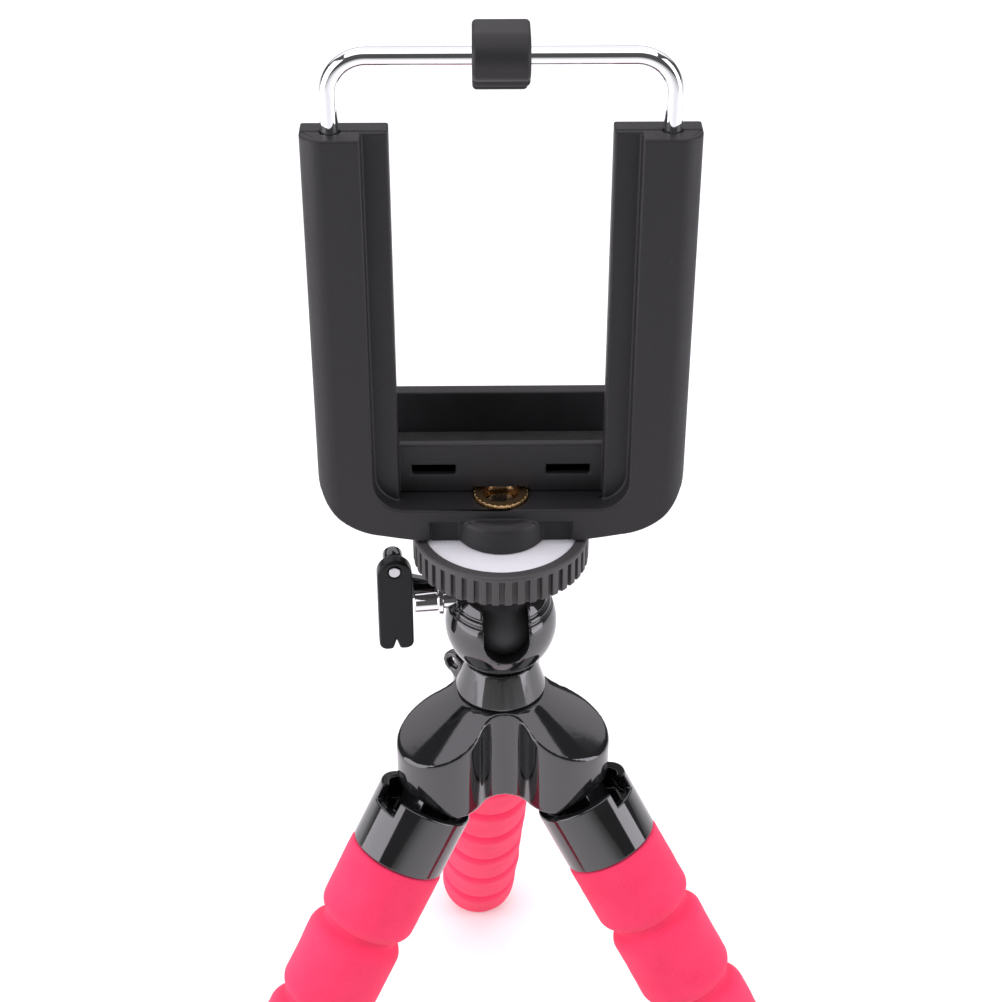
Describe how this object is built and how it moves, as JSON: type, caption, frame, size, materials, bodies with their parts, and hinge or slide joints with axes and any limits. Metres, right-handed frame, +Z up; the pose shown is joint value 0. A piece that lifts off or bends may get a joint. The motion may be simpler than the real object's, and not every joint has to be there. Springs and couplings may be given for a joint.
{
  "type": "flexible leg tripod",
  "caption": "Small tripod with bendable foam-covered legs hinged on a lobed hub, a lockable ball head and a sprung bail clamp that grips a phone.",
  "frame": {"origin": "on the floor under the hub's axis", "axes": "+Z up along the hub's axis; +X along the clamp's width, to the right seen from behind the clamp; +Y out of the clamp's holding side"},
  "size_m": [0.1387, 0.1254, 0.2219],
  "materials": {
    "gloss_black": "polished",
    "satin_black": "satin",
    "clamp_black": "matte",
    "foam": "closed-cell foam",
    "pad": "matte",
    "brass": "turned",
    "chrome": "polished",
    "face_plate": "turned",
    "steel": "drawn"
  },
  "bodies": {
    "hub": {"hub_body": "gloss_black", "neck_cone": "gloss_black", "neck_screw": "steel", "ball_cup": "gloss_black"},
    "lever": {"lock_lever": "gloss_black", "lever_pin": "steel"},
    "plunger": {"lock_plunger": "chrome"},
    "ball": {"ball_stem": "satin_black"},
    "clamp": {"mount_disc": "satin_black", "face_plate": "face_plate", "camera_screw": "steel", "clamp_rear_shell": "clamp_black", "clamp_front_shell": "clamp_black", "brass_insert": "brass", "lower_jaw_pad": "pad", "left_spring": "steel", "right_spring": "steel"},
    "bail": {"bail_wire": "chrome"},
    "upper_jaw": {"upper_jaw": "clamp_black", "upper_jaw_pad": "pad"},
    "left_leg_1": {"left_collar": "gloss_black", "left_core_wire": "steel", "left_foam_1": "foam"},
    "left_leg_2": {"left_foam_2": "foam"},
    "left_leg_3": {"left_foam_3": "foam"},
    "left_leg_4": {"left_foam_4": "foam"},
    "left_leg_5": {"left_foam_5": "foam"},
    "left_leg_6": {"left_foam_6": "foam"},
    "left_leg_7": {"left_foam_7": "foam"},
    "right_leg_1": {"right_collar": "gloss_black", "right_core_wire": "steel", "right_foam_1": "foam"},
    "right_leg_2": {"right_foam_2": "foam"},
    "right_leg_3": {"right_foam_3": "foam"},
    "right_leg_4": {"right_foam_4": "foam"},
    "right_leg_5": {"right_foam_5": "foam"},
    "right_leg_6": {"right_foam_6": "foam"},
    "right_leg_7": {"right_foam_7": "foam"},
    "rear_leg_1": {"rear_collar": "gloss_black", "rear_core_wire": "steel", "rear_foam_1": "foam"},
    "rear_leg_2": {"rear_foam_2": "foam"},
    "rear_leg_3": {"rear_foam_3": "foam"},
    "rear_leg_4": {"rear_foam_4": "foam"},
    "rear_leg_5": {"rear_foam_5": "foam"},
    "rear_leg_6": {"rear_foam_6": "foam"},
    "rear_leg_7": {"rear_foam_7": "foam"}
  },
  "joints": [
    {"name": "left_leg_swing", "type": "hinge", "parent": "hub", "child": "left_leg_1", "pos_m": [-0.00914, -0.00594, 0.10509], "axis": [-0.5446, 0.8387, 0], "range_deg": [-31.5, 8.5]},
    {"name": "left_leg_bend_1", "type": "hinge", "parent": "left_leg_1", "child": "left_leg_2", "pos_m": [-0.02229, -0.01447, 0.07951], "axis": [0.5446, -0.8387, 0], "range_deg": [-16, 14], "deforming": ["left_core_wire"]},
    {"name": "left_leg_bend_2", "type": "hinge", "parent": "left_leg_2", "child": "left_leg_3", "pos_m": [-0.02895, -0.0188, 0.06655], "axis": [0.5446, -0.8387, 0], "range_deg": [-16, 14], "deforming": ["left_core_wire"]},
    {"name": "left_leg_bend_3", "type": "hinge", "parent": "left_leg_3", "child": "left_leg_4", "pos_m": [-0.03561, -0.02312, 0.05359], "axis": [0.5446, -0.8387, 0], "range_deg": [-16, 14], "deforming": ["left_core_wire"]},
    {"name": "left_leg_bend_4", "type": "hinge", "parent": "left_leg_4", "child": "left_leg_5", "pos_m": [-0.04227, -0.02745, 0.04063], "axis": [0.5446, -0.8387, 0], "range_deg": [-16, 14], "deforming": ["left_core_wire"]},
    {"name": "left_leg_bend_5", "type": "hinge", "parent": "left_leg_5", "child": "left_leg_6", "pos_m": [-0.04893, -0.03178, 0.02767], "axis": [0.5446, -0.8387, 0], "range_deg": [-16, 14], "deforming": ["left_core_wire"]},
    {"name": "left_leg_bend_6", "type": "hinge", "parent": "left_leg_6", "child": "left_leg_7", "pos_m": [-0.05559, -0.0361, 0.01471], "axis": [0.5446, -0.8387, 0], "range_deg": [-16, 14], "deforming": ["left_core_wire"]},
    {"name": "right_leg_swing", "type": "hinge", "parent": "hub", "child": "right_leg_1", "pos_m": [0.00971, -0.00495, 0.10509], "axis": [-0.454, -0.891, 0], "range_deg": [-31.5, 8.5]},
    {"name": "right_leg_bend_1", "type": "hinge", "parent": "right_leg_1", "child": "right_leg_2", "pos_m": [0.02368, -0.01206, 0.07951], "axis": [0.454, 0.891, 0], "range_deg": [-16, 14], "deforming": ["right_core_wire"]},
    {"name": "right_leg_bend_2", "type": "hinge", "parent": "right_leg_2", "child": "right_leg_3", "pos_m": [0.03075, -0.01567, 0.06655], "axis": [0.454, 0.891, 0], "range_deg": [-16, 14], "deforming": ["right_core_wire"]},
    {"name": "right_leg_bend_3", "type": "hinge", "parent": "right_leg_3", "child": "right_leg_4", "pos_m": [0.03783, -0.01928, 0.05359], "axis": [0.454, 0.891, 0], "range_deg": [-16, 14], "deforming": ["right_core_wire"]},
    {"name": "right_leg_bend_4", "type": "hinge", "parent": "right_leg_4", "child": "right_leg_5", "pos_m": [0.04491, -0.02288, 0.04063], "axis": [0.454, 0.891, 0], "range_deg": [-16, 14], "deforming": ["right_core_wire"]},
    {"name": "right_leg_bend_5", "type": "hinge", "parent": "right_leg_5", "child": "right_leg_6", "pos_m": [0.05198, -0.02649, 0.02767], "axis": [0.454, 0.891, 0], "range_deg": [-16, 14], "deforming": ["right_core_wire"]},
    {"name": "right_leg_bend_6", "type": "hinge", "parent": "right_leg_6", "child": "right_leg_7", "pos_m": [0.05906, -0.03009, 0.01471], "axis": [0.454, 0.891, 0], "range_deg": [-16, 14], "deforming": ["right_core_wire"]},
    {"name": "rear_leg_swing", "type": "hinge", "parent": "hub", "child": "rear_leg_1", "pos_m": [-0.00057, 0.01089, 0.10509], "axis": [0.9986, 0.0523, 0], "range_deg": [-31.5, 8.5]},
    {"name": "rear_leg_bend_1", "type": "hinge", "parent": "rear_leg_1", "child": "rear_leg_2", "pos_m": [-0.00139, 0.02654, 0.07951], "axis": [-0.9986, -0.0523, 0], "range_deg": [-16, 14], "deforming": ["rear_core_wire"]},
    {"name": "rear_leg_bend_2", "type": "hinge", "parent": "rear_leg_2", "child": "rear_leg_3", "pos_m": [-0.00181, 0.03447, 0.06655], "axis": [-0.9986, -0.0523, 0], "range_deg": [-16, 14], "deforming": ["rear_core_wire"]},
    {"name": "rear_leg_bend_3", "type": "hinge", "parent": "rear_leg_3", "child": "rear_leg_4", "pos_m": [-0.00222, 0.0424, 0.05359], "axis": [-0.9986, -0.0523, 0], "range_deg": [-16, 14], "deforming": ["rear_core_wire"]},
    {"name": "rear_leg_bend_4", "type": "hinge", "parent": "rear_leg_4", "child": "rear_leg_5", "pos_m": [-0.00264, 0.05033, 0.04063], "axis": [-0.9986, -0.0523, 0], "range_deg": [-16, 14], "deforming": ["rear_core_wire"]},
    {"name": "rear_leg_bend_5", "type": "hinge", "parent": "rear_leg_5", "child": "rear_leg_6", "pos_m": [-0.00305, 0.05826, 0.02767], "axis": [-0.9986, -0.0523, 0], "range_deg": [-16, 14], "deforming": ["rear_core_wire"]},
    {"name": "rear_leg_bend_6", "type": "hinge", "parent": "rear_leg_6", "child": "rear_leg_7", "pos_m": [-0.00347, 0.06619, 0.01471], "axis": [-0.9986, -0.0523, 0], "range_deg": [-16, 14], "deforming": ["rear_core_wire"]},
    {"name": "ball_tilt", "type": "hinge", "parent": "hub", "child": "ball", "pos_m": [0, 0, 0.12889], "axis": [0.9945, 0.1045, 0], "range_deg": [-20, 80]},
    {"name": "disc_spin", "type": "hinge", "parent": "ball", "child": "clamp", "pos_m": [0, 0, 0.14079], "axis": [0, 0, 1], "continuous": true},
    {"name": "bail_slide", "type": "slide", "parent": "clamp", "child": "bail", "axis": [0, 0, 1], "range_m": [0, 0.026], "stiffness_N_per_m": 150, "springref_m": -0.015, "deforming": ["left_spring", "right_spring"]},
    {"name": "jaw_flip", "type": "hinge", "parent": "bail", "child": "upper_jaw", "pos_m": [0, -0.0009, 0.21869], "axis": [1, 0, 0], "range_deg": [0, 100]},
    {"name": "lever_fold", "type": "hinge", "parent": "hub", "child": "lever", "pos_m": [-0.01581, -0.00166, 0.13969], "axis": [-0.1045, 0.9945, 0], "range_deg": [0, 95]},
    {"name": "plunger_slide", "type": "slide", "parent": "hub", "child": "plunger", "axis": [-0.9945, -0.1045, 0], "range_m": [0, 0.0003]}
  ],
  "couplings": [
    {"joint": "left_leg_bend_2", "follows": "left_leg_bend_1", "ratio": 1},
    {"joint": "left_leg_bend_3", "follows": "left_leg_bend_1", "ratio": 1},
    {"joint": "left_leg_bend_5", "follows": "left_leg_bend_4", "ratio": 1},
    {"joint": "left_leg_bend_6", "follows": "left_leg_bend_4", "ratio": 1},
    {"joint": "right_leg_bend_2", "follows": "right_leg_bend_1", "ratio": 1},
    {"joint": "right_leg_bend_3", "follows": "right_leg_bend_1", "ratio": 1},
    {"joint": "right_leg_bend_5", "follows": "right_leg_bend_4", "ratio": 1},
    {"joint": "right_leg_bend_6", "follows": "right_leg_bend_4", "ratio": 1},
    {"joint": "rear_leg_bend_2", "follows": "rear_leg_bend_1", "ratio": 1},
    {"joint": "rear_leg_bend_3", "follows": "rear_leg_bend_1", "ratio": 1},
    {"joint": "rear_leg_bend_5", "follows": "rear_leg_bend_4", "ratio": 1},
    {"joint": "rear_leg_bend_6", "follows": "rear_leg_bend_4", "ratio": 1},
    {"joint": "lever_fold", "follows": "plunger_slide", "rad_per_m": 5526}
  ]
}
